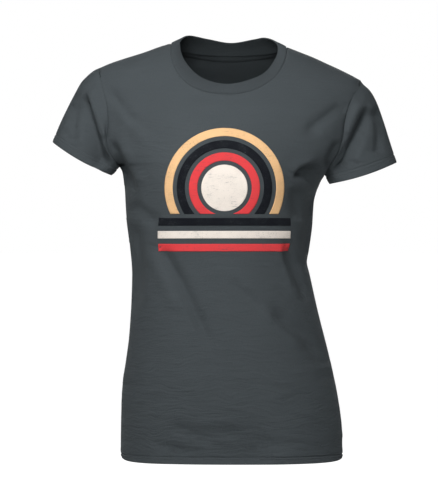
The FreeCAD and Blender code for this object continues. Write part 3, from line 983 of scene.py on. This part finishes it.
class Wires:
    """A node tree in the making."""

    def __init__(self, tree):
        self.tree = tree

    def add(self, kind, **settings):
        """A new node with its own settings."""
        node = self.tree.nodes.new(kind)
        for name, value in settings.items():
            setattr(node, name, value)
        return node

    def feed(self, value, socket):
        """Connect an output to a socket, or set the socket to a plain value."""
        if isinstance(value, bpy.types.NodeSocket):
            self.tree.links.new(value, socket)
        elif isinstance(value, tuple) and len(value) == 3 and socket.type == "RGBA":
            socket.default_value = (*value, 1)
        else:
            socket.default_value = value

    def fed(self, node, values, output=0):
        """An output of a node whose sockets are fed with the values under their names or numbers."""
        for socket, value in values.items():
            self.feed(value, node.inputs[socket])
        return node.outputs[output]

    def calc(self, operation, *values, clamp=False):
        """A sum over plain values and outputs."""
        node = self.add("ShaderNodeMath", operation=operation, use_clamp=clamp)
        return self.fed(node, dict(enumerate(values)))

    def wave(self, value):
        """A wave with one crest for each whole step of the value."""
        return self.calc("SINE", self.calc("MULTIPLY", value, 2 * math.pi))

    def noise(self, vector, scale, detail=2.0, roughness=0.5):
        """Soft noise of 0 to 1."""
        node = self.add("ShaderNodeTexNoise")
        return self.fed(node, {"Vector": vector, "Scale": scale, "Detail": detail, "Roughness": roughness})

    def stretched(self, vector, scale):
        """The vector with its own scale along each axis."""
        return self.fed(self.add("ShaderNodeVectorMath", operation="MULTIPLY"), {0: vector, 1: scale})

    def spread(self, value, low, high, start=0.0, end=1.0):
        """Map a value from low..high to start..end, clamped."""
        return self.fed(self.add("ShaderNodeMapRange"), {
            "Value": value, "From Min": low, "From Max": high, "To Min": start, "To Max": end})

    def mixed(self, share, first, second):
        """A colour between two colours."""
        return self.fed(self.add("ShaderNodeMix", data_type="RGBA"), {0: share, 6: first, 7: second}, 2)

    def axes(self, vector):
        """The three parts of a vector."""
        node = self.add("ShaderNodeSeparateXYZ")
        self.feed(vector, node.inputs[0])
        return node.outputs


class Group(Wires):
    """A shader node group, with what it is given and what it puts out."""

    def __init__(self, name, inputs, outputs):
        super().__init__(new_tree(name, "Shader", inputs, outputs)[0])
        self.given = self.add("NodeGroupInput").outputs
        self.results = self.add("NodeGroupOutput").inputs

    def put_out(self, **values):
        """Finish the group with its results, and give its tree."""
        for label, value in values.items():
            self.feed(value, self.results[label])
        return self.tree


# ---- Stitches

STITCH_INPUTS = [
    ("Needle Lines", "Geometry", None), ("Spacing", "Float", 0.003), ("Thread Length", "Float", 0.0022),
    ("Thread Width", "Float", 0.0006), ("Unevenness", "Float", 0.1), ("Seed", "Int", 1),
    ("Thread", "Material", None),
]
# name, kind, settings
STITCH_NODES = [
    ("inlet", "NodeGroupInput", {}), ("curve", "GeometryNodeMeshToCurve", {}),
    ("spaced", "GeometryNodeResampleCurve", {"mode": "LENGTH"}),
    ("points", "GeometryNodeCurveToPoints", {"mode": "EVALUATED"}), ("ball", "GeometryNodeMeshUVSphere", {}),
    ("size", "ShaderNodeCombineXYZ", {}), ("shape", "GeometryNodeTransform", {}),
    ("align", "FunctionNodeAlignRotationToVector", {"axis": "X"}),
    ("less", "ShaderNodeMath", {"operation": "MULTIPLY"}), ("low", "ShaderNodeCombineXYZ", {}),
    ("high", "ShaderNodeCombineXYZ", {}),
    ("chance", "FunctionNodeRandomValue", {"data_type": "FLOAT_VECTOR"}),
    ("euler", "FunctionNodeEulerToRotation", {}),
    ("turn", "FunctionNodeRotateRotation", {"rotation_space": "LOCAL"}),
    ("scatter", "GeometryNodeInstanceOnPoints", {}), ("realize", "GeometryNodeRealizeInstances", {}),
    ("smooth", "GeometryNodeSetShadeSmooth", {}), ("paint", "GeometryNodeSetMaterial", {}),
    ("outlet", "NodeGroupOutput", {}),
]
# node, its output, the next node, its input
STITCH_LINKS = [
    ("inlet", "Needle Lines", "curve", "Mesh"), ("curve", "Curve", "spaced", "Curve"),
    ("inlet", "Spacing", "spaced", "Length"), ("spaced", "Curve", "points", "Curve"),
    ("points", "Points", "scatter", "Points"),
    # one thread: a ball drawn out to its length and width
    ("inlet", "Thread Length", "size", "X"), ("inlet", "Thread Width", "size", "Y"),
    ("inlet", "Thread Width", "size", "Z"), ("ball", "Mesh", "shape", "Geometry"),
    ("size", "Vector", "shape", "Scale"), ("shape", "Geometry", "scatter", "Instance"),
    # its turn: along the line, and a little off it by chance
    ("points", "Tangent", "align", "Vector"), ("inlet", "Unevenness", "less", "Value"),
    ("less", "Value", "low", "Y"), ("less", "Value", "low", "Z"),
    ("inlet", "Unevenness", "high", "Y"), ("inlet", "Unevenness", "high", "Z"),
    ("low", "Vector", "chance", "Min"), ("high", "Vector", "chance", "Max"),
    ("inlet", "Seed", "chance", "Seed"), ("chance", "Value", "euler", "Euler"),
    ("align", "Rotation", "turn", "Rotation"), ("euler", "Rotation", "turn", "Rotate By"),
    ("turn", "Rotation", "scatter", "Rotation"),
    # the finished threads
    ("scatter", "Instances", "realize", "Geometry"), ("realize", "Geometry", "smooth", "Geometry"),
    ("smooth", "Geometry", "paint", "Geometry"), ("inlet", "Thread", "paint", "Material"),
    ("paint", "Geometry", "outlet", "Stitches"),
]


def stitch_tree():
    """Lays one short thread after another along each edge loop of a mesh."""
    tree, ports = new_tree("twin_needle_stitches", "Geometry", STITCH_INPUTS, [("Stitches", "Geometry")])
    wires = Wires(tree)
    part = {name: wires.add(kind, **settings) for name, kind, settings in STITCH_NODES}
    wires.fed(part["ball"], {"Segments": 6, "Rings": 4, "Radius": 0.5})
    wires.feed(-1, part["less"].inputs[1])
    for start, output, end, socket in STITCH_LINKS:
        tree.links.new(part[start].outputs[output], part[end].inputs[socket])
    return tree, ports


def stitches(name, lines, seed, spacing=3.0, length=2.3):
    """Threads along needle lines. Each line is (points in millimetres, whether it closes)."""
    places = []
    edges = []
    for points, closed in lines:
        start, count = len(places), len(points)
        places += (points * MM).tolist()
        edges += [(start + i, start + (i + 1) % count) for i in range(count if closed else count - 1)]
    mesh = bpy.data.meshes.new(f"{name}_lines")
    mesh.from_pydata(places, edges, [])
    path = placed(f"{name}_lines", mesh)
    sewing = path.modifiers.new("stitches", "NODES")
    sewing.node_group = STITCH_TREE
    for label, value in (("Spacing", spacing * MM), ("Thread Length", length * MM),
                         ("Thread Width", THREAD_WIDTH * MM), ("Seed", seed), ("Thread", THREAD)):
        sewing[STITCH_PORTS[label]] = value
    evaluated = path.evaluated_get(bpy.context.evaluated_depsgraph_get())
    sewn = bpy.data.meshes.new_from_object(evaluated)
    path.modifiers.clear()
    bpy.data.objects.remove(path)
    bpy.data.meshes.remove(mesh)
    sewn.name = name
    return placed(name, sewn)


def body_needle_lines():
    """The two rows of the bottom hem."""
    return [(body_loop(share * HEM_DEPTH / HEM_TO_UNDERARM, THREAD_RISE), True) for share in STITCH_ROWS]


def sleeve_needle_lines(sleeve):
    """The two rows of a sleeve's hem."""
    return [(sleeve_loop(sleeve, SLEEVE_NEEDLE_COLUMNS, share * SLEEVE_HEM_DEPTH, THREAD_RISE), True)
            for share in STITCH_ROWS]


def neck_needle_lines():
    """A row close below the neck seam, on the front and on the back."""
    lines = []
    for face in (FRONT, BACK):
        over, normals = lines_from_neck(face, np.linspace(-0.985, 0.985, 240))
        lines.append((lay_strip(over, normals, [(NECK_STITCH_DROP, THREAD_RISE)])[0], False))
    return lines


# ---- Materials

LOOP_SLANT = 1.6  # how steeply a loop's legs climb
LOOP_SHARE = 0.35  # of the relief between one course and the next


def knit_group():
    """Single jersey: columns of V-shaped loops, as a height and as a mask of the low gaps between them."""
    knit = Group(
        "knit_loops",
        [("Cloth", "Vector", None), ("Column Width", "Float", 0.0006), ("Course Height", "Float", 0.00046)],
        [("Height", "Float"), ("Gaps", "Float")],
    )
    across, up, _ = knit.axes(knit.given["Cloth"])
    column = knit.calc("DIVIDE", across, knit.given["Column Width"])
    course = knit.calc("DIVIDE", up, knit.given["Course Height"])
    from_middle = knit.calc("ABSOLUTE", knit.calc("SUBTRACT", knit.calc("FRACT", column), 0.5))
    leg = knit.wave(from_middle)
    loop = knit.wave(knit.calc("ADD", course, knit.calc("MULTIPLY", from_middle, LOOP_SLANT)))
    height = knit.calc("MULTIPLY", leg, knit.calc("MULTIPLY_ADD", loop, LOOP_SHARE, 1 - LOOP_SHARE))
    return knit.put_out(Height=height, Gaps=knit.spread(height, 0.35, 0.0))


def yarn_group():
    """Dyed yarn: a slightly uneven colour, in thin streaks along the knit and in broad soft patches."""
    yarn = Group(
        "yarn_dye",
        [("Cloth", "Vector", None), ("Place", "Vector", None), ("Dye", "Color", (0.07, 0.08, 0.09, 1)),
         ("Unevenness", "Float", 0.2)],
        [("Color", "Color"), ("Fuzz", "Float")],
    )
    streaks = yarn.noise(yarn.stretched(yarn.given["Cloth"], (1500, 160, 1)), 1.0, 3)
    patches = yarn.noise(yarn.given["Place"], 14.0, 3)
    grain = yarn.noise(yarn.given["Cloth"], 420.0, 2)
    tone = yarn.calc("ADD", yarn.calc("MULTIPLY", streaks, 0.4), yarn.calc("MULTIPLY", patches, 0.35))
    tone = yarn.calc("ADD", tone, yarn.calc("MULTIPLY", grain, 0.25))
    swing = yarn.calc("MULTIPLY", yarn.calc("SUBTRACT", tone, 0.5), yarn.given["Unevenness"])
    bright = yarn.calc("ADD", 1.0, yarn.calc("MULTIPLY", swing, 4.0))
    scaled = yarn.add("ShaderNodeVectorMath", operation="SCALE")
    return yarn.put_out(Color=yarn.fed(scaled, {0: yarn.given["Dye"], "Scale": bright}), Fuzz=grain)


def ripple_group():
    """Fine level ripples of a jersey that isn't pressed, as a height. They are strongest above the hem."""
    loose = Group("loose_ripples", [("Place", "Vector", None)], [("Height", "Float")])
    x, y, z = loose.axes(loose.given["Place"])
    strength = loose.spread(z, -0.34, -0.56, 0.45, 1.0)
    drift = loose.calc("MULTIPLY_ADD", loose.noise(loose.given["Place"], 16.0, 2), 0.03, z)
    bent = loose.fed(loose.add("ShaderNodeCombineXYZ"), {"X": x, "Y": y, "Z": drift})
    fine = loose.noise(loose.stretched(bent, (50, 50, 270)), 1.0, 3, 0.55)
    broad = loose.noise(loose.stretched(bent, (20, 20, 110)), 1.0, 2)
    height = loose.calc("MULTIPLY_ADD", fine, 0.55, loose.calc("MULTIPLY", broad, 0.7))
    return loose.put_out(Height=loose.calc("MULTIPLY", height, strength))


def ink_wear_group():
    """Where a washed print has lost its ink: fine gaps over the knit, flecks, and a few dry streaks."""
    ink = Group(
        "ink_wear",
        [("Place", "Vector", None), ("Gaps", "Float", 0.0), ("Amount", "Float", 0.5)],
        [("Wear", "Float"), ("Tone", "Float")],
    )
    place = ink.given["Place"]
    flecks = ink.spread(ink.noise(place, 620.0, 3, 0.6), 0.60, 0.70)
    patches = ink.spread(ink.noise(place, 60.0, 4, 0.6), 0.42, 0.66)
    scratches = ink.spread(ink.noise(ink.stretched(place, (70, 200, 900)), 1.0, 4, 0.6), 0.60, 0.68)
    worn = ink.calc("MULTIPLY", ink.calc("MAXIMUM", flecks, scratches), patches)
    worn = ink.calc("MAXIMUM", worn, ink.calc("MULTIPLY", ink.given["Gaps"], 0.25))
    return ink.put_out(Wear=ink.calc("MULTIPLY", worn, ink.given["Amount"], clamp=True), Tone=patches)


def twill_group():
    """A fine diagonal weave for tape."""
    tape = Group(
        "tape_twill", [("Cloth", "Vector", None), ("Pitch", "Float", 0.0009)], [("Height", "Float")])
    across, up, _ = tape.axes(tape.given["Cloth"])
    diagonal = tape.calc("DIVIDE", tape.calc("ADD", across, up), tape.given["Pitch"])
    return tape.put_out(Height=tape.wave(diagonal))


KNIT = knit_group()
YARN = yarn_group()
RIPPLES = ripple_group()
INK_WEAR = ink_wear_group()
TWILL = twill_group()


class Finish(Wires):
    """A material in the making: its tree, its shader and where its patterns read from."""

    def __init__(self, name, roughness, specular):
        self.material = bpy.data.materials.new(name)
        self.material.use_nodes = True
        super().__init__(self.material.node_tree)
        self.shader = self.tree.nodes["Principled BSDF"]
        self.shader.inputs["Roughness"].default_value = roughness
        self.shader.inputs["Specular IOR Level"].default_value = specular
        coordinates = self.add("ShaderNodeTexCoord")
        self.cloth = coordinates.outputs["UV"]
        self.place = coordinates.outputs["Object"]

    def use(self, group, **values):
        """Place a node group with its own values, and give its outputs."""
        node = self.add("ShaderNodeGroup", node_tree=group)
        for label, value in values.items():
            self.feed(value, node.inputs[label.replace("_", " ")])
        return node.outputs

    def color(self, value):
        """Set the base colour to a plain colour or to an output."""
        self.feed(value, self.shader.inputs["Base Color"])

    def bump(self, height, distance):
        """Raise the surface by a height of 0 to 1, over a distance in metres."""
        raised = self.fed(self.add("ShaderNodeBump"), {"Distance": distance, "Height": height}, "Normal")
        self.feed(raised, self.shader.inputs["Normal"])


CHARCOAL = (0.068, 0.080, 0.087)
RIB_SHADE = (0.058, 0.068, 0.074)
INSIDE_PAINTED_SHADE = (0.029, 0.035, 0.038)  # painted shade: the knit's own colour darkened for the inside of the shirt, which lies in shadow


def dyed_knit(name, dye, column, course, unevenness, relief, rippled=0.0):
    """Jersey or rib: loops as bump, their gaps a little darker, which is painted shade, and uneven yarn.

    Column and course are a loop's width and height, relief its depth, and rippled the depth of a
    ripple, in metres.
    """
    finish = Finish(name, roughness=0.93, specular=0.15)
    loops = finish.use(KNIT, Cloth=finish.cloth, Column_Width=column, Course_Height=course)
    yarn = finish.use(YARN, Cloth=finish.cloth, Place=finish.place, Dye=(*dye, 1), Unevenness=unevenness)
    # painted shade: the colour darkens towards 0.45 of the dye in the low gaps between the loops
    shade = finish.calc("MULTIPLY", loops["Gaps"], 0.35)
    finish.color(finish.mixed(shade, yarn["Color"], tuple(0.45 * part for part in dye)))
    height = finish.calc("MULTIPLY_ADD", yarn["Fuzz"], 0.5, loops["Height"])
    if rippled:
        ripples = finish.use(RIPPLES, Place=finish.place)
        height = finish.calc("MULTIPLY_ADD", ripples["Height"], rippled / relief, height)
    finish.bump(height, relief)
    return finish.material


def tape_cloth():
    """Woven tape of the same yarn, dyed with the darker colour of the inside, which is painted shade."""
    finish = Finish("neck_tape_twill", roughness=0.9, specular=0.15)
    weave = finish.use(TWILL, Cloth=finish.cloth)
    yarn = finish.use(YARN, Cloth=finish.cloth, Place=finish.place, Dye=(*INSIDE_PAINTED_SHADE, 1), Unevenness=0.12)
    finish.color(yarn["Color"])
    finish.bump(weave["Height"], 0.00012)
    return finish.material


def sewing_thread():
    """Twisted thread of the cloth's colour."""
    finish = Finish("charcoal_sewing_thread", roughness=0.6, specular=0.3)
    twist = finish.noise(finish.place, 1800.0, 1)
    finish.color(finish.mixed(twist, (0.045, 0.052, 0.057), (0.085, 0.097, 0.105)))
    finish.bump(twist, 0.00015)
    return finish.material


def screen_ink(name, color, amount):
    """A thin soft print, worn through to the cloth in places and marked by the knit under it."""
    finish = Finish(name, roughness=0.8, specular=0.12)
    loops = finish.use(KNIT, Cloth=finish.cloth)
    wear = finish.use(INK_WEAR, Place=finish.place, Gaps=loops["Gaps"], Amount=amount)
    faded = finish.mixed(finish.calc("MULTIPLY", wear["Tone"], 0.06), color, CHARCOAL)
    finish.color(finish.mixed(wear["Wear"], faded, CHARCOAL))
    finish.feed(finish.spread(wear["Wear"], 0, 1, 0.8, 0.93), finish.shader.inputs["Roughness"])
    finish.bump(loops["Height"], 0.00008)
    return finish.material


JERSEY_KNIT = {"column": 0.0007, "course": 0.00052, "unevenness": 0.16, "relief": 0.00018}
RIB_KNIT = {"column": 0.0008, "course": 0.0006, "unevenness": 0.14, "relief": 0.00015}
JERSEY_CLOTH = dyed_knit("charcoal_jersey", CHARCOAL, **JERSEY_KNIT, rippled=0.0032)
# the inner faces: jersey and rib in a darker copy of their colour, which is painted shade for the inside
INNER_SHADED_CLOTH = dyed_knit("charcoal_jersey_inside", INSIDE_PAINTED_SHADE, **JERSEY_KNIT)
RIB_CLOTH = dyed_knit("charcoal_rib", RIB_SHADE, **RIB_KNIT)
INNER_SHADED_RIB = dyed_knit("charcoal_rib_inside", INSIDE_PAINTED_SHADE, **RIB_KNIT)
TAPE_CLOTH = tape_cloth()
THREAD = sewing_thread()
# each ink's colour, and how far it is worn
INK_LOOKS = {
    "cream": ((0.90, 0.82, 0.74), 0.8), "coral": ((0.76, 0.055, 0.062), 0.75),
    "navy": ((0.0016, 0.0022, 0.0050), 0.7), "sand": ((0.87, 0.54, 0.27), 0.8),
}
STITCH_TREE, STITCH_PORTS = stitch_tree()


# ---- Assembly

def dress(piece, slot, finishes, *nodes):
    """Put one or two finishes on a piece, and set it in the place of its construction solids."""
    if not piece.data.materials:
        for material in finishes:
            piece.data.materials.append(material)
    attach(piece, "root")
    if nodes:
        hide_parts(*nodes)
    return piece


def allowance(side, seam, kind, lines, slot, finish, around=False):
    """The strip of cloth or tape inside one of a side's seams. Lines come with their normals."""
    strip = seam_strip(f"{side.name}_{seam}_{kind}", *lines, SEAM_ALLOWANCE, ALLOWANCE_THICKNESS, around)
    return dress(strip, slot, [finish], f"{side.name}_{seam}_seam")


# the seam allowances inside take the jersey's darker copy, and the shoulder tapes the tape; both colours are
# painted shade
for side, sleeve in ((RIGHT, RIGHT_SLEEVE), (LEFT, LEFT_SLEEVE)):
    start = (HEM_DEPTH + 2) / HEM_TO_UNDERARM
    allowance(
        side, "side", "allowance", lines_from_edge(BACK, side, start, 0.995, 150), "jersey", INNER_SHADED_CLOTH)
    allowance(
        side, "shoulder", "tape", lines_from_edge(BACK, side, 2.02, 2.97, 50), "tape", TAPE_CLOTH)
    allowance(
        side, "armhole", "allowance", lines_from_armhole(sleeve), "jersey", INNER_SHADED_CLOTH, around=True)

hem = dress(body_hem(), "jersey", [JERSEY_CLOTH], "bottom_hem")
hem_threads = dress(stitches("bottom_hem_stitches", body_needle_lines(), 11), "jersey", [THREAD])
neck_lines = lines_from_neck(BACK, np.linspace(-0.97, 0.97, 110))
tape = dress(seam_strip("back_neck_tape", *neck_lines, NECK_TAPE, NECK_TAPE_THICKNESS), "tape", [TAPE_CLOTH],
             "neck_tape")
neck_threads = dress(stitches("neck_stitches", neck_needle_lines(), 17, spacing=2.6, length=1.9), "jersey",
                     [THREAD])
for name, patches in INKS.items():
    film = print_screen(name, patches)
    look = screen_ink(f"{name}_screen_ink", *INK_LOOKS[name])
    dress(film, f"ink_{name}", [look], f"print_{name}")

front = dress(body_panel(FRONT), "jersey", [JERSEY_CLOTH, INNER_SHADED_CLOTH], "front_panel")
back = dress(body_panel(BACK), "jersey", [JERSEY_CLOTH, INNER_SHADED_CLOTH], "back_panel")
for sleeve in (RIGHT_SLEEVE, LEFT_SLEEVE):
    cloth = dress(sleeve_cloth(sleeve), "jersey", [JERSEY_CLOTH, INNER_SHADED_CLOTH], sleeve.name)
    fold = dress(sleeve_hem(sleeve), "jersey", [JERSEY_CLOTH], f"{sleeve.name}_hem")
    threads = dress(stitches(f"{sleeve.name}_stitches", sleeve_needle_lines(sleeve), sleeve.seed), "jersey",
                    [THREAD])
band = dress(neckband(), "rib", [RIB_CLOTH, INNER_SHADED_RIB], "neckband")


# ---- Stage, light and camera

FLOOR_REACH = 400
FLOOR_DROP = 0.16  # from the shirt's lowest point down to the floor, in metres
FLOOR_SHADE = 0.86
FLOOR_GLOW = 1.16  # lifts the floor to the backdrop's white, for rays that see the floor itself
AMBIENT = 0.05
# name, place, what it points at, size, power
LAMPS = [
    ("high_front", (-0.35, -1.6, 1.2), (0, 0, -0.2), 0.8, 11.5),
    ("near_chest", (-0.22, -0.95, 0.3), (0, 0, -0.15), 0.5, 9.2),
    ("front_fill", (0.7, -2.5, 0.8), (0, 0, -0.2), 1.2, 6),
    ("back_soft", (0.6, 2.7, 0.7), (0, 0, -0.3), 1.2, 38),
    ("back_fill", (-0.9, 2.6, 0.1), (0, 0, -0.3), 1.2, 16),
]
CAMERA_AIM = (-0.015, -0.309)  # the middle of its view, across and up, in metres
CAMERA_DISTANCE = 5.0
VIEW_HEIGHT = 0.750
SENSOR_HEIGHT = 24


def backdrop(wires, strength, soft, white, surface):
    """Show a share of a white shader, to the rays that see it directly, in a gloss or through glass."""
    path = wires.add("ShaderNodeLightPath").outputs
    seen = wires.calc("MAXIMUM", path["Is Camera Ray"], path["Is Glossy Ray"])
    seen = wires.calc("MAXIMUM", seen, path["Is Transmission Ray"])
    share = wires.calc("MULTIPLY", seen, strength)
    wires.feed(wires.fed(wires.add("ShaderNodeMixShader"), {0: share, 1: soft, 2: white}), surface)


def stage():
    """A pale floor below the shirt. It looks white, apart from the shirt's shadow."""
    mesh = bpy.data.meshes.new("floor")
    level = cad_bounds[0][2] - FLOOR_DROP
    corners = [(x * FLOOR_REACH, y * FLOOR_REACH, level) for x, y in ((-1, -1), (1, -1), (1, 1), (-1, 1))]
    mesh.from_pydata(corners, [], [(0, 1, 2, 3)])
    finish = Finish("pale_floor", roughness=0.9, specular=0.25)
    finish.color((FLOOR_SHADE, FLOOR_SHADE, FLOOR_SHADE))
    glow = finish.fed(finish.add("ShaderNodeEmission"), {"Strength": FLOOR_GLOW})
    backdrop(finish, FLOOR_SHADE, finish.shader.outputs["BSDF"], glow,
             finish.tree.nodes["Material Output"].inputs["Surface"])
    mesh.materials.append(finish.material)
    floor = placed("floor", mesh)


def world_light():
    """Soft light from all round, and a white backdrop."""
    world = bpy.data.worlds.new("studio")
    bpy.context.scene.world = world
    world.use_nodes = True
    wires = Wires(world.node_tree)
    nodes = world.node_tree.nodes
    soft = wires.fed(nodes["Background"], {"Color": (1, 1, 1), "Strength": AMBIENT})
    white = wires.fed(wires.add("ShaderNodeBackground"), {"Color": (1, 1, 1), "Strength": 1})
    backdrop(wires, 1, soft, white, nodes["World Output"].inputs["Surface"])


def lamp(name, place, aim, size, power):
    """A square lamp that points at a place."""
    light = bpy.data.lights.new(name, "AREA")
    light.size = size
    light.energy = power
    thing = placed(name, light)
    thing.location = place
    thing.rotation_euler = (Vector(aim) - Vector(place)).to_track_quat("-Z", "Y").to_euler()


def camera():
    """Level, straight in front, and far away."""
    lens = bpy.data.cameras.new("camera")
    lens.sensor_fit = "VERTICAL"
    lens.sensor_height = SENSOR_HEIGHT
    lens.lens = SENSOR_HEIGHT * CAMERA_DISTANCE / VIEW_HEIGHT
    thing = placed("camera", lens)
    thing.location = (CAMERA_AIM[0], -CAMERA_DISTANCE, CAMERA_AIM[1])
    thing.rotation_euler = (math.pi / 2, 0, 0)
    bpy.context.scene.camera = thing


stage()
world_light()
for values in LAMPS:
    lamp(*values)
camera()
bpy.context.scene.view_settings.view_transform = "Standard"
